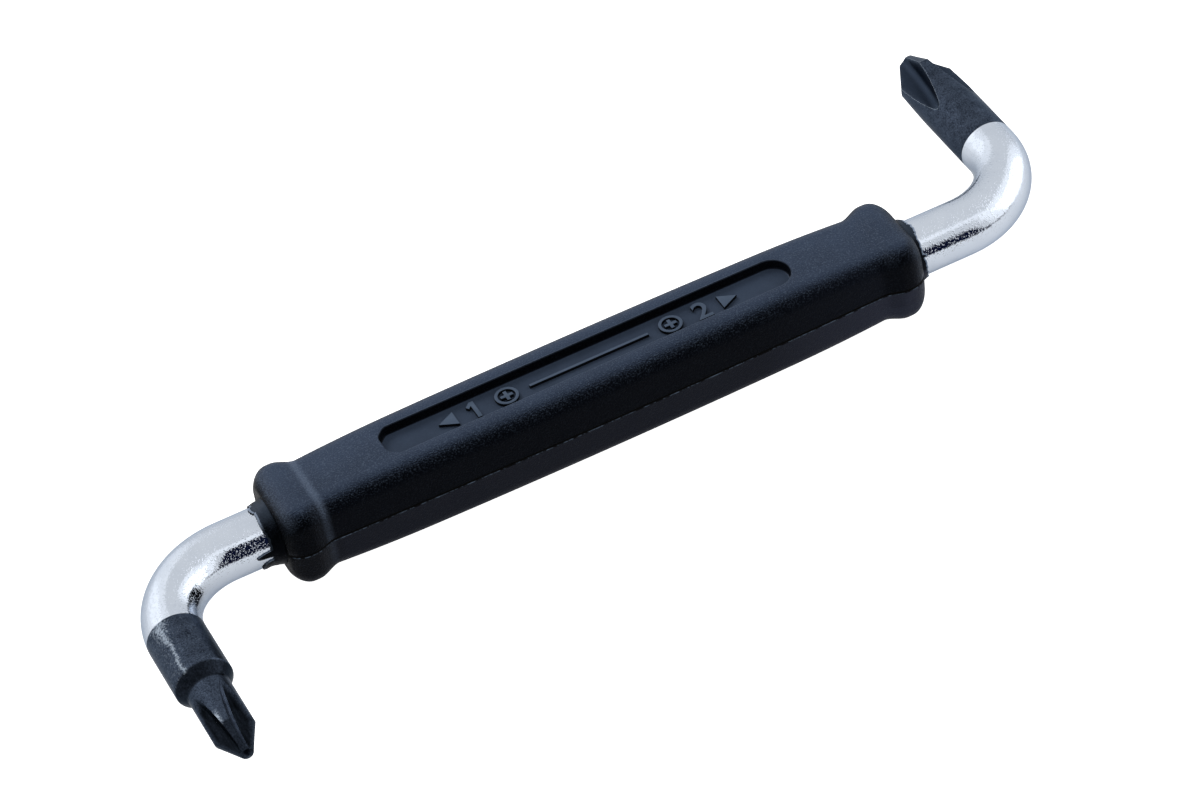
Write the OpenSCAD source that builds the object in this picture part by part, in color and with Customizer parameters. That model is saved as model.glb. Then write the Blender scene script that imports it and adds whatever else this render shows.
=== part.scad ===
// Offset screwdriver: one bent steel bar with a PH1 and a PH2 point, and a handle moulded round it.
// Millimetres. X runs along the handle, Z is up, and the tool lies on the underside of its handle.
// The origin is in the middle of that underside. The PH1 arm points to -Y and the PH2 arm to +Y.

/* [Steel bar] */
// Diameter of the round bar
bar_d = 6; // [5:0.1:6.4]
// Radius of each bend, to the middle of the bar
bend_r = 8.6; // [7:0.1:9.5]
// From the middle of the handle to the axis of the PH1 arm
ph1_arm_x = 48.9; // [46:0.1:60]
// From the middle of the handle to the axis of the PH2 arm
ph2_arm_x = 50.5; // [46:0.1:60]
// Length of the two flats that key the bar in the handle
key_l = 26; // [10:1:50]
// Depth of each of those flats
key_depth = 0.5; // [0.2:0.1:0.8]

/* [PH1 end] */
// From the bar's long axis to the end of the PH1 point
ph1_reach = 26.2; // [25:0.1:40]
// Length of the black collar, from the end of the bend
ph1_collar_l = 6.6; // [4:0.1:7]
// Length of the sloping shoulder between collar and neck
ph1_shoulder_l = 1.2; // [0.8:0.1:2]
// Radius of the fillet at the foot of the neck
ph1_fillet_r = 0.6; // [0.2:0.1:1]
// Diameter of the neck that carries the point
ph1_neck_d = 4.4; // [4:0.1:4.8]
// Diameter of the blunt end of the point
ph1_end_d = 1.27; // [1:0.01:1.5]
// Length of the flutes, back from the end
ph1_flute_l = 8.8; // [8:0.1:9.4]
// From the arm's axis to the root of a flute, where it is deepest
ph1_core_r = 0.42; // [0.3:0.01:0.6]
// Radius at the root of a flute
ph1_root_r = 0.25; // [0.1:0.05:0.4]
// How far past the end the grinding wheel is deepest
ph1_wheel_past = 0.6; // [-1:0.1:1]
// Turn of the four wings about the arm, from straight up towards +X
ph1_wing_turn = -15; // [-45:1:45]

/* [PH2 end] */
// From the bar's long axis to the end of the PH2 point
ph2_reach = 26.7; // [25:0.1:40]
// Length of bright bar between the bend and the black end
ph2_bright_l = 0.9; // [0.2:0.1:4]
// Diameter of the blunt end of the point
ph2_end_d = 2.29; // [2:0.01:2.5]
// Length of the flutes, back from the end
ph2_flute_l = 11.1; // [9:0.1:12]
// From the arm's axis to the root of a flute, where it is deepest
ph2_core_r = 0.82; // [0.6:0.01:1]
// Radius at the root of a flute
ph2_root_r = 0.8; // [0.2:0.05:1]
// How far past the end the grinding wheel is deepest
ph2_wheel_past = -0.8; // [-2:0.1:1]
// Turn of the four wings about the arm, from straight up towards +X
ph2_wing_turn = 0; // [-45:1:45]

/* [Form of both points] */
// Angle between the cone of the point and the arm's axis
cone_angle = 26.5; // [24:0.5:30]
// Angle between the blunt end and a plane square to the arm
blunt_angle = 28; // [15:1:35]
// Angle between the two walls of a flute
flute_angle = 92; // [88:1:96]

/* [Handle] */
// Length of the handle between its end faces
handle_l = 70.6; // [60:0.1:78]
// Width at the middle, across the parting line
grip_w = 10.2; // [9.5:0.1:14]
// Thickness at the middle
grip_h = 9.6; // [9.2:0.1:13]
// Length over which top and underside are level
level_l = 40; // [20:1:46]
// Width at the two necks beside the end guards
neck_w = 9.3; // [8.8:0.1:13]
// Thickness at the two necks
neck_h = 8.9; // [8.6:0.1:12]
// Width of the end guards at their crest
guard_w = 10.6; // [9.8:0.1:15]
// Thickness of the end guards at their crest
guard_h = 9.6; // [9.2:0.1:14]
// Length of each end guard, from its neck to the end face
guard_l = 4.8; // [4.4:0.1:7]
// Length over which a guard rises from its neck to its crest
guard_rise_l = 2.4; // [2:0.1:3]
// Radius that rounds a guard's crest over to the end face
end_round_r = 2.2; // [1.6:0.1:3]
// Width of the flat that the end face keeps round the lip
end_land = 0.15; // [0.05:0.05:0.4]
// Radius of the four long corners
corner_r = 2; // [1:0.1:2.4]
// Draft of the sides, away from the parting line
side_draft = 5; // [2:0.5:7]
// How far the moulded lip stands out along the bar
lip_l = 0.8; // [0.3:0.1:1.2]
// Thickness of that lip round the bar
lip_t = 0.5; // [0.3:0.1:0.7]

/* [Recess in the top] */
// Length of the recess
recess_l = 45; // [20:1:50]
// Width of the recess
recess_w = 4.1; // [3:0.1:5]
// Depth of the recess at the middle of the handle
recess_depth = 1.1; // [0.5:0.1:1.3]
// Size of the cut corners at the PH1 end of the recess
recess_corner = 1.2; // [0.5:0.1:1.4]

/* [Hidden] */
$fn = 72;
// How far each cut runs past the body that it cuts
overrun = 0.5;

bar_r = bar_d/2;
lift = max(grip_h, guard_h)/2;
ph1_bend_x = ph1_arm_x - bend_r;
ph2_bend_x = ph2_arm_x - bend_r;

neck_x = handle_l/2 - guard_l;
crest_x = neck_x + guard_rise_l;
// How far the rounding has drawn the section in at the end face, which leaves a land round the lip
end_drop = min(guard_h/2 - bar_r - lip_t - end_land, end_round_r);
end_round_l = sqrt(end_round_r^2 - (end_round_r - end_drop)^2);
round_x = max(crest_x, handle_l/2 - end_round_l);

// Sections along each stretch of the handle's half, and steps round one of its corners
swell_steps = 4;
level_steps = 3;
rise_steps = 8;
round_steps = 6;
corner_steps = 6;
// Steps round the edge of a flute's grinding wheel
root_steps = 5;
// Facets in a full turn of that wheel
wheel_fn = 180;

// 0 at a neck, 1 at the crest of its guard, level at both
function rise(x) = let (t = max(0, min(1, (x - neck_x)/guard_rise_l))) t^2*(3 - 2*t);
// How far the rounding has drawn the section in, at the distance x from the middle
function drop(x) = let (e = max(0, x - (handle_l/2 - end_round_l)))
    end_round_r - sqrt(max(0, end_round_r^2 - e^2));
// Half-width at the parting line: a parabola from neck to neck, and the guards
function half_w(x) = let (t = min(1, x/neck_x))
    (grip_w - (grip_w - neck_w)*t^2 + (guard_w - neck_w)*rise(x))/2 - drop(x);
// Half-thickness: level along the middle, then a parabola down to each neck, and the guards
function half_h(x) = let (t = max(0, min(1, (x - level_l/2)/(neck_x - level_l/2))))
    (grip_h - (grip_h - neck_h)*t^2 + (guard_h - neck_h)*rise(x))/2 - drop(x);

// One corner of the section, from the parting line up the drafted side and over to the flat top
function quarter(w, h) = let (
    c_z = h - corner_r,
    c_y = w - c_z*tan(side_draft) - corner_r/cos(side_draft)
) [
    [w, 0],
    for (i = [0:corner_steps]) let (a = side_draft + (90 - side_draft)*i/corner_steps)
        [c_y + corner_r*cos(a), c_z + corner_r*sin(a)]
];
// The whole section at the distance x, counterclockwise seen from +X, with each parting point once
function section(x) = let (q = quarter(half_w(x), half_h(x)), n = len(q) - 1) [
    for (i = [0:n]) q[i],
    for (i = [n:-1:0]) [-q[i][0], q[i][1]],
    for (i = [1:n]) [-q[i][0], -q[i][1]],
    for (i = [n:-1:1]) [q[i][0], -q[i][1]]
];

// Places of the sections on the +X half, closer together where the form turns faster
half_places = [
    for (i = [0:level_steps]) level_l/2*i/level_steps,
    for (i = [1:swell_steps]) level_l/2 + (neck_x - level_l/2)*i/swell_steps,
    for (i = [1:rise_steps]) neck_x + guard_rise_l*i/rise_steps,
    for (i = [(round_x > crest_x ? 0 : 1):round_steps])
        round_x + (handle_l/2 - round_x)*sin(90*i/round_steps)
];
places = [for (i = [len(half_places) - 1:-1:1]) -half_places[i], each half_places];

// A closed skin through equal rings of points, with a flat cap at each end
module loft(rings) {
    n = len(rings[0]);
    last = len(rings) - 1;
    polyhedron(
        points = [for (ring = rings) each ring],
        faces = [
            [for (j = [0:n - 1]) j],
            for (i = [0:last - 1]) for (j = [0:n - 1]) let (k = (j + 1) % n)
                each [[i*n + j, (i + 1)*n + j, (i + 1)*n + k], [i*n + j, (i + 1)*n + k, i*n + k]],
            [for (j = [n - 1:-1:0]) last*n + j]
        ],
        convexity = 6
    );
}

// Round bar along X between two places
module bar_x(x0, x1, r) {
    translate([x0, 0, 0]) rotate([0, 90, 0]) cylinder(h = x1 - x0, r = r);
}

// The bar along X with the two flats that key it in the handle
module keyed_bar(x0, x1) difference() {
    bar_x(x0, x1, bar_r);
    for (side = [-1, 1]) translate([0, 0, side*(bar_d - key_depth)])
        cube([key_l, bar_d + 2*overrun, bar_d], center = true);
}

// A quarter bend round the origin, from the place (bend_r, 0) counterclockwise
module bend() {
    rotate_extrude(angle = 90) translate([bend_r, 0]) circle(r = bar_r);
}

// Profile of a point turned on the arm's axis: full radius r from z0, cone, blunt end
function point_profile(r, z0, reach, end_d) = let (
    blunt_z = reach - end_d/2*tan(blunt_angle),
    cone_z = blunt_z - (r - end_d/2)/tan(cone_angle)
) [[0, z0], [r, z0], [r, cone_z], [end_d/2, blunt_z], [0, reach]];

// One flute's grinding wheel, at work on the +X side of a point of radius r that runs along Z.
// Its V has a rounded edge. It runs out on the full radius at flute_l back from the end.
module flute_wheel(r, reach, flute_l, core_r, root_r, past) {
    half = flute_angle/2;
    run = flute_l + past;
    depth = r - core_r;
    wheel_r = (run^2 + depth^2)/(2*depth);
    edge_r = wheel_r - root_r;
    // How far in from the edge's centre the walls are cut off, and how far apart they are there
    wall_l = depth + overrun;
    wall_half = (wall_l + root_r/sin(half))*tan(half);
    back = asin(run/wheel_r) + 2*asin(overrun/wheel_r);
    front = asin((r + overrun)/wheel_r);
    translate([core_r + wheel_r, 0, reach + past]) rotate([90, 0, 0]) rotate([0, 0, 180 - front])
        rotate_extrude(angle = back + front, $fn = wheel_fn) polygon([
            [edge_r - wall_l, -wall_half],
            for (i = [-root_steps:2:root_steps]) let (a = (90 - half)*i/root_steps)
                [edge_r + root_r*cos(a), root_r*sin(a)],
            [edge_r - wall_l, wall_half]
        ]);
}

// Four flutes, with a wing at turn degrees
module flutes(r, reach, flute_l, core_r, root_r, past, turn) {
    for (i = [0:3]) rotate([0, 0, turn + 45 + 90*i]) flute_wheel(r, reach, flute_l, core_r, root_r, past);
}

// Fillet between a sloping shoulder and the neck above it, in the plane of the turned profile
module neck_fillet(neck_r, collar_z, neck_z, r) {
    slope = atan2(neck_z - collar_z, bar_r - neck_r);
    touch = r*tan((90 - slope)/2);
    difference() {
        polygon([
            [neck_r - touch, neck_z],
            [neck_r + touch*cos(slope), neck_z - touch*sin(slope)],
            [neck_r, neck_z + touch]
        ]);
        translate([neck_r + r, neck_z + touch]) circle(r = r);
    }
}

// Bright bar: the keyed straight part in the handle, both bends, and the start of the PH2 arm
module shank() color("#d9dde6") translate([0, 0, lift]) {
    keyed_bar(-ph1_bend_x, ph2_bend_x);
    translate([-ph1_bend_x, -bend_r, 0]) rotate([0, 0, 90]) bend();
    translate([ph2_bend_x, bend_r, 0]) rotate([0, 0, -90]) bend();
    translate([ph2_arm_x, bend_r, 0]) rotate([-90, 0, 0]) cylinder(h = ph2_bright_l, r = bar_r);
}

// Black PH1 end: collar, sloping shoulder, filleted neck and fluted point
module ph1_tip() color("#262b33") translate([-ph1_arm_x, 0, lift]) rotate([90, 0, 0]) {
    neck_r = ph1_neck_d/2;
    collar_z = bend_r + ph1_collar_l;
    neck_z = collar_z + ph1_shoulder_l;
    difference() {
        rotate_extrude() {
            polygon([
                [0, bend_r],
                [bar_r, bend_r],
                [bar_r, collar_z],
                for (i = [1:4]) point_profile(neck_r, neck_z, ph1_reach, ph1_end_d)[i]
            ]);
            neck_fillet(neck_r, collar_z, neck_z, ph1_fillet_r);
        }
        flutes(neck_r, ph1_reach, ph1_flute_l, ph1_core_r, ph1_root_r, ph1_wheel_past, -ph1_wing_turn);
    }
}

// Black PH2 end: the bar at its full diameter, straight to the fluted point
module ph2_tip() color("#262b33") translate([ph2_arm_x, 0, lift]) rotate([-90, 0, 0]) {
    difference() {
        rotate_extrude() polygon(point_profile(bar_r, bend_r + ph2_bright_l, ph2_reach, ph2_end_d));
        flutes(bar_r, ph2_reach, ph2_flute_l, ph2_core_r, ph2_root_r, ph2_wheel_past, ph2_wing_turn);
    }
}

// Outline of the recess: round at the PH2 end, cut corners at the PH1 end
module recess_outline() {
    round_x = recess_l/2 - recess_w/2;
    translate([round_x, 0]) circle(d = recess_w);
    polygon([
        [round_x, -recess_w/2],
        [round_x, recess_w/2],
        [recess_corner - recess_l/2, recess_w/2],
        [-recess_l/2, recess_w/2 - recess_corner],
        [-recess_l/2, recess_corner - recess_w/2],
        [recess_corner - recess_l/2, -recess_w/2]
    ]);
}

// Moulded handle: barrel grip between two end guards, a lip round the bar at each end, and a recess
module handle() color("#30343b") translate([0, 0, lift]) difference() {
    lip_x = handle_l/2 + lip_l;
    union() {
        loft([for (x = places) [for (p = section(abs(x))) [x, p[0], p[1]]]]);
        bar_x(-lip_x, lip_x, bar_r + lip_t);
    }
    keyed_bar(-lip_x - overrun, lip_x + overrun);
    translate([0, 0, grip_h/2 - recess_depth])
        linear_extrude(height = recess_depth + overrun) recess_outline();
}

shank();
ph1_tip();
ph2_tip();
handle();
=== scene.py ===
# Offset screwdriver: a bent, plated steel bar with two black cross points, in a moulded handle.
# Pieces are worked out in millimetres and scaled to metres when they are finished.
# X runs along the handle, Z is up, and the tool lies on the underside of its handle.
import math

import bmesh
import bpy
from mathutils import Matrix, Vector, noise


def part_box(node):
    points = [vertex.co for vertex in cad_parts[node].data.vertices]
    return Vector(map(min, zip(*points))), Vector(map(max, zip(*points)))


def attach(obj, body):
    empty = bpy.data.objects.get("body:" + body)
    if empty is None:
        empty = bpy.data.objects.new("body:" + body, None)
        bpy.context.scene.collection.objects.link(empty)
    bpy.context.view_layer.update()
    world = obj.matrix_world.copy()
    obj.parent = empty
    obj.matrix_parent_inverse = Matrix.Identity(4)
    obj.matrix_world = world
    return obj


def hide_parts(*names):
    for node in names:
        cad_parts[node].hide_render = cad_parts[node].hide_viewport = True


mm = 0.001

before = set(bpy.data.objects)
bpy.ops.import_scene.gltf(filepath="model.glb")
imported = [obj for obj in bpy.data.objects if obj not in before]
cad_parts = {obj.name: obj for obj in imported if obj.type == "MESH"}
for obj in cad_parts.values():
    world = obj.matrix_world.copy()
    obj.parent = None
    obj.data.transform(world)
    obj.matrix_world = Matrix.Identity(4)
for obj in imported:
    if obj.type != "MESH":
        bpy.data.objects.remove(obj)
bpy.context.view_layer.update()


def boxOf(node):
    low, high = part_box(node)
    return low / mm, high / mm


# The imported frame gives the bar's radius and height, the arms' places and both reaches
barLow, barHigh = boxOf("shank")
ph1Low, ph1High = boxOf("ph1_tip")
ph2Low, ph2High = boxOf("ph2_tip")

bar = {
    "radius": (barHigh.z - barLow.z) / 2,
    "height": (barHigh.z + barLow.z) / 2,
    "ph1ArmX": (ph1Low.x + ph1High.x) / 2,
    "ph2ArmX": (ph2Low.x + ph2High.x) / 2,
    "bendRadius": -ph1High.y,
    "ph1BlackStart": 8.13,  # from the bar's long axis to where the black finish begins
    "ph2BlackStart": ph2Low.y,
    "around": 112,
    "bendSteps": 56,
}


# Meshes grown ring by ring: each ring is extruded from the last and set in its place

def startRing(bm, spots):
    ring = [bm.verts.new(spot) for spot in spots]
    for one, other in zip(ring, ring[1:] + ring[:1]):
        bm.edges.new((one, other))
    return ring


def growRing(bm, ring, spots):
    edges = [bm.edges.get((one, other)) for one, other in zip(ring, ring[1:] + ring[:1])]
    number = {vert: i for i, vert in enumerate(ring)}
    grown = [None] * len(ring)
    for item in bmesh.ops.extrude_edge_only(bm, edges=edges)["geom"]:
        if isinstance(item, bmesh.types.BMVert):
            for edge in item.link_edges:
                if edge.other_vert(item) in number:
                    grown[number[edge.other_vert(item)]] = item
    for vert, spot in zip(grown, spots):
        vert.co = spot
    return grown


def growRings(bm, rings, capped=True):
    ring = startRing(bm, rings[0])
    first = ring
    for spots in rings[1:]:
        ring = growRing(bm, ring, spots)
    if capped:
        for end in (first, ring):
            bmesh.ops.contextual_create(bm, geom=end)
    return first, ring


def finishPiece(name, bm, materials, slotName=None, smoothAngle=40):
    bmesh.ops.scale(bm, vec=(mm, mm, mm), verts=bm.verts)
    mesh = bpy.data.meshes.new(name)
    bm.to_mesh(mesh)
    bm.free()
    piece = bpy.data.objects.new(name, mesh)
    bpy.context.scene.collection.objects.link(piece)
    for material in materials:
        mesh.materials.append(material)
    mesh.shade_smooth()
    mesh.set_sharp_from_angle(angle=math.radians(smoothAngle))
    if slotName:
        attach(piece, "root")
    return piece


def cleanUp(bm, merge=0.0004):
    bmesh.ops.remove_doubles(bm, verts=bm.verts, dist=merge)
    bmesh.ops.dissolve_degenerate(bm, edges=bm.edges, dist=merge)
    bmesh.ops.recalc_face_normals(bm, faces=bm.faces)


# Turns every edge sharper than angle into a narrow round, and returns the rounds' faces
def roundSharpEdges(bm, angle, width, segments=2):
    sharp = [e for e in bm.edges if len(e.link_faces) == 2 and e.calc_face_angle() > math.radians(angle)]
    made = bmesh.ops.bevel(
        bm, geom=sharp, offset=width, offset_type="OFFSET", segments=segments,
        profile=0.5, affect="EDGES", clamp_overlap=True, material=-1,
    )
    return made["faces"]


def subtract(piece, cutter):
    cut = piece.modifiers.new("cut", "BOOLEAN")
    cut.operation = "DIFFERENCE"
    cut.solver = "EXACT"
    cut.material_mode = "TRANSFER"
    cut.object = cutter
    evaluated = piece.evaluated_get(bpy.context.evaluated_depsgraph_get())
    mesh = bpy.data.meshes.new_from_object(evaluated)
    piece.modifiers.clear()
    piece.data = mesh
    bpy.data.objects.remove(cutter)


# Materials: one function turns an sRGB hex colour to linear, and one adds a node; the next are short
# forms of the nodes that come often

def colourOf(text):
    channels = [int(text[i:i + 2], 16) / 255 for i in (1, 3, 5)]
    return [c / 12.92 if c <= 0.04045 else ((c + 0.055) / 1.055) ** 2.4 for c in channels] + [1]


def addNode(tree, kind, inputs=None, **settings):
    node = tree.nodes.new(kind)
    for name, value in settings.items():
        setattr(node, name, value)
    for name, value in (inputs or {}).items():
        if isinstance(value, bpy.types.NodeSocket):
            tree.links.new(value, node.inputs[name])
        else:
            node.inputs[name].default_value = value
    return node


def newMaterial(name):
    material = bpy.data.materials.new(name)
    material.use_nodes = True
    tree = material.node_tree
    tree.nodes.clear()
    return material, tree


# Gives a material its surface
def paint(tree, inputs):
    shader = addNode(tree, "ShaderNodeBsdfPrincipled", inputs)
    addNode(tree, "ShaderNodeOutputMaterial", {"Surface": shader.outputs["BSDF"]})


def reckon(tree, operation, *values, clamped=False):
    numbers = dict(enumerate(values))
    return addNode(tree, "ShaderNodeMath", numbers, operation=operation, use_clamp=clamped).outputs[0]


# Turns the given span of a value into the wanted one, and holds it at both ends
def spread(tree, value, given, wanted=(0, 1), smooth=False):
    node = addNode(tree, "ShaderNodeMapRange", {
        "Value": value, "From Min": given[0], "From Max": given[1], "To Min": wanted[0], "To Max": wanted[1],
    }, interpolation_type="SMOOTHSTEP" if smooth else "LINEAR")
    return node.outputs["Result"]


# The same for a length, with the given span in millimetres
def spreadAlong(tree, length, given, wanted=(0, 1), smooth=False):
    return spread(tree, length, [limit * mm for limit in given], wanted, smooth)


def blend(tree, share, under, over):
    node = addNode(tree, "ShaderNodeMix", {"Factor": share, "A": under, "B": over}, data_type="RGBA")
    return node.outputs["Result"]


def axesOf(tree, vector):
    return addNode(tree, "ShaderNodeSeparateXYZ", {"Vector": vector}).outputs


# Noise whose features are so many millimetres apart
def noiseOf(tree, place, size, detail, roughness):
    node = addNode(tree, "ShaderNodeTexNoise", {
        "Vector": place, "Scale": 1 / (size * mm), "Detail": detail, "Roughness": roughness,
    })
    return node.outputs["Fac"]


# A bump so many millimetres deep, on top of another one if there is one
def bumpOf(tree, height, depth, under=None):
    inputs = {"Height": height, "Strength": 1, "Distance": depth * mm}
    if under is not None:
        inputs["Normal"] = under
    return addNode(tree, "ShaderNodeBump", inputs).outputs["Normal"]


# Sizes and depths of the surfaces' grain in mm
grain = {
    "sparkSize": 0.15,  # between the pits of the mould's skin, drawn coarse enough to show
    "sparkDepth": 0.062,
    "peelSize": 0.34,  # between the waves of the plating, drawn coarse too
    "peelDepth": 0.015,
    "pitSize": 0.17,  # between the grains that show through the plating
    "pitDepth": 0.013,
    "scaleSize": 0.15,  # between the grains of the black finish, drawn coarse as well
    "scaleDepth": 0.012,
}


# Painted sheen on the plastic, where the light catches it: places in mm from the middle of the handle, and
# how much
paintedSheen = {
    "tone": "#5d697c",
    "foldX": 31.0,  # the fold where the small point's guard rises
    "foldWidth": 0.75,
    "fold": 0.8,
    "largeEnd": 0.5,
    "smallEnd": 0.5,
    "outside": (27, 29),  # the ends get the painted sheen from here on, which leaves out the recess
    "endFace": (34.7, 35.2),  # and the painted sheen fades out on the end faces, which lie in shade
}


# A mask of the painted sheen: the fold of the small point's guard, and the rounds at both ends
def paintedSheenMask(tree, place, facing, pits):
    x = axesOf(tree, place)["X"]
    along = reckon(tree, "ABSOLUTE", x)
    away = reckon(tree, "ABSOLUTE", reckon(tree, "SUBTRACT", along, paintedSheen["foldX"] * mm))
    fold = spreadAlong(tree, away, (paintedSheen["foldWidth"], 0), (0, paintedSheen["fold"]), smooth=True)
    fold = reckon(tree, "MULTIPLY", fold, spreadAlong(tree, x, (1, -1)))
    outer = spreadAlong(tree, along, paintedSheen["outside"])
    large = spread(tree, facing["X"], (0.25, 0.85), (0, paintedSheen["largeEnd"]), smooth=True)
    small = spread(tree, facing["X"], (-0.3, -0.65), (0, paintedSheen["smallEnd"]), smooth=True)
    large = reckon(tree, "MULTIPLY", large, outer)
    small = reckon(tree, "MULTIPLY", small, outer)
    mask = 0
    # each has the most painted sheen where it faces up, from a slant of its own, and has a share left below
    for share, slant, left in ((fold, -0.2, 0.07), (large, -0.2, 0.3), (small, 0.22, 0)):
        share = reckon(tree, "MULTIPLY", share, spread(tree, facing["Z"], (slant, 0.7), (left, 0.75)))
        mask = reckon(tree, "MAXIMUM", mask, share)
    mask = reckon(tree, "MULTIPLY", mask, spread(tree, pits, (0.35, 0.62), (0.45, 1)))
    return reckon(tree, "MULTIPLY", mask, spreadAlong(tree, along, paintedSheen["endFace"], (1, 0.1)))


# Painted light and shade on the plastic: a span, mostly in mm from the middle, and how much there is at its
# ends
paintedLightAndShade = {
    "top": (0.72, 0.97),  # the height of a face's normal from which it is painted paler, as lit from above
    "acrossTop": ((-1, 3.2), (0.92, 1.16)),  # the painted top light is stronger on the far side of the recess
    "sides": ((16, 30), (1, 2.8)),  # painted light: the sides are paler towards the large point, as lit from that end
    "smallGuardShade": ((-32.4, -29.5), (0.25, 1)),  # painted shade: the small point's guard is darker
    "foldShadeX": 32.2,  # painted shade above the seam in the fold of the large point's guard
    "foldShade": ((0.7, 2.6), (0.25, 1)),
}


# Polyamide moulded in a spark-eroded tool: near black, with a dry grain, and painted a paler slate where it
# faces up, as lit from above
def mouldedPolyamide(
    name, grainShare=1.0, roughness=0.42, base="#030407", lower="#14161e", paler="#303a4b", glintTone="#525e6f",
):
    material, tree = newMaterial(name)
    place = addNode(tree, "ShaderNodeTexCoord").outputs["Object"]
    axes = axesOf(tree, place)
    pits = noiseOf(tree, place, grain["sparkSize"], 2, 0.55)
    clouds = noiseOf(tree, place, 4, 4, 0.6)
    bump = bumpOf(tree, pits, grain["sparkDepth"] * grainShare)
    facing = axesOf(tree, bump)
    # painted light: faces that look up are painted a paler slate, as lit from above; the underside, which
    # slides about on the bench, is rubbed a little paler too
    topLightAndUnderWear = reckon(
        tree, "MAXIMUM", spread(tree, facing["Z"], paintedLightAndShade["top"], smooth=True),
        spread(tree, facing["Z"], (-0.2, -0.8), (0, 0.5)),
    )
    topLightAndUnderWear = reckon(tree, "MULTIPLY", topLightAndUnderWear, spread(tree, clouds, (0.3, 0.7), (0.78, 1)))
    topLightAndUnderWear = reckon(tree, "MULTIPLY", topLightAndUnderWear, spreadAlong(tree, axes["Y"], *paintedLightAndShade["acrossTop"]))
    # painted glints: the grain's peaks are paler, and most where they face up, as if they catch the light
    grainGlints = spread(tree, pits, (0.5, 0.72), (0, 0.5 * grainShare))
    grainGlints = reckon(tree, "MULTIPLY", grainGlints, spread(tree, facing["Z"], (0.3, 1), (0.07, 1)))
    # painted light: below the seam the sides take the lower tone, a shade paler, as if lit from the table
    face = axesOf(tree, addNode(tree, "ShaderNodeNewGeometry").outputs["Normal"])
    below = spread(tree, face["Z"], (-0.02, -0.09))
    # painted shade in the fold of the large point's guard, above the seam only
    away = reckon(tree, "ABSOLUTE", reckon(tree, "SUBTRACT", axes["X"], paintedLightAndShade["foldShadeX"] * mm))
    foldShade = spreadAlong(tree, away, *paintedLightAndShade["foldShade"], smooth=True)
    # painted light on the sides towards the large point, and painted shade on the small point's guard and in
    # the fold
    amount = reckon(
        tree, "MULTIPLY", spreadAlong(tree, axes["X"], *paintedLightAndShade["sides"]),
        spreadAlong(tree, axes["X"], *paintedLightAndShade["smallGuardShade"]),
    )
    amount = reckon(tree, "MULTIPLY", amount, reckon(tree, "MAXIMUM", foldShade, below))
    deep = addNode(tree, "ShaderNodeVectorMath", {
        "Vector": blend(tree, below, colourOf(base), colourOf(lower)), "Scale": amount,
    }, operation="SCALE").outputs["Vector"]
    # the painted top light over the sides' tones
    tone = blend(tree, topLightAndUnderWear, deep, colourOf(paler))
    # painted sheen on the fold and the rounded ends, where the light catches them
    tone = blend(tree, paintedSheenMask(tree, place, facing, pits), tone, colourOf(paintedSheen["tone"]))
    paint(tree, {
        "Base Color": blend(tree, grainGlints, tone, colourOf(glintTone)),
        "Roughness": spread(tree, clouds, (0.3, 0.7), (roughness - 0.05, roughness + 0.06)),
        "Normal": bump, "IOR": 1.53, "Specular IOR Level": 0.035, "Specular Tint": colourOf("#b4c8f0"),
    })
    return material


# The seam where the mould's halves met: a line painted black as its shade, or below it a thin edge of flash,
# worn in places
def partingSeam(name, flash="#010102"):
    material, tree = newMaterial(name)
    place = addNode(tree, "ShaderNodeTexCoord").outputs["Object"]
    torn = spread(tree, noiseOf(tree, place, 0.9, 4, 0.75), (0.44, 0.62))
    paint(tree, {
        "Base Color": blend(tree, torn, colourOf("#010102"), colourOf(flash)),
        "Roughness": 0.6, "IOR": 1.53, "Specular IOR Level": 0.05,
    })
    return material


# Satin chrome plate over a blasted steel bar: bright and cool, with an orange peel and grains that
# break up every dark reflection into specks
def satinChrome(name):
    material, tree = newMaterial(name)
    place = addNode(tree, "ShaderNodeTexCoord").outputs["Object"]
    patches = noiseOf(tree, place, 2.4, 3, 0.55)
    waves = bumpOf(tree, noiseOf(tree, place, grain["peelSize"], 3, 0.68), grain["peelDepth"])
    pits = spread(tree, noiseOf(tree, place, grain["pitSize"], 1, 0.5), (0.58, 0.72))
    paint(tree, {
        "Base Color": blend(tree, patches, colourOf("#bac2ce"), colourOf("#c8cfd9")),
        "Metallic": 1, "Specular Tint": colourOf("#bcc4ce"),
        "Roughness": spread(tree, patches, (0.3, 0.7), (0.04, 0.08)),
        "Normal": bumpOf(tree, pits, grain["pitDepth"], waves),
    })
    return material


# Where a knock along the collar has scraped the black finish off, in mm
scrape = {
    "x": -50.36,
    "halfWidth": 0.34,
    "wander": 0.2,
    "start": -15.5,  # along Y, to the bend
    "wideFrom": -11.4,
    "stop": -8.2,
    "wider": 4.2,  # times as wide at the bend
    "specksTo": -50.3,  # loose specks lie on the outer side of this X
    "topFrom": (4.4, 5.2),  # only on the upper side
}


# And where one crest of the small point has rubbed, beside a flute: middle and radius in mm
crestWear = {"middle": (-49.98, -21.9, 6.78), "radius": 0.62, "stretch": 0.36}


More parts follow.
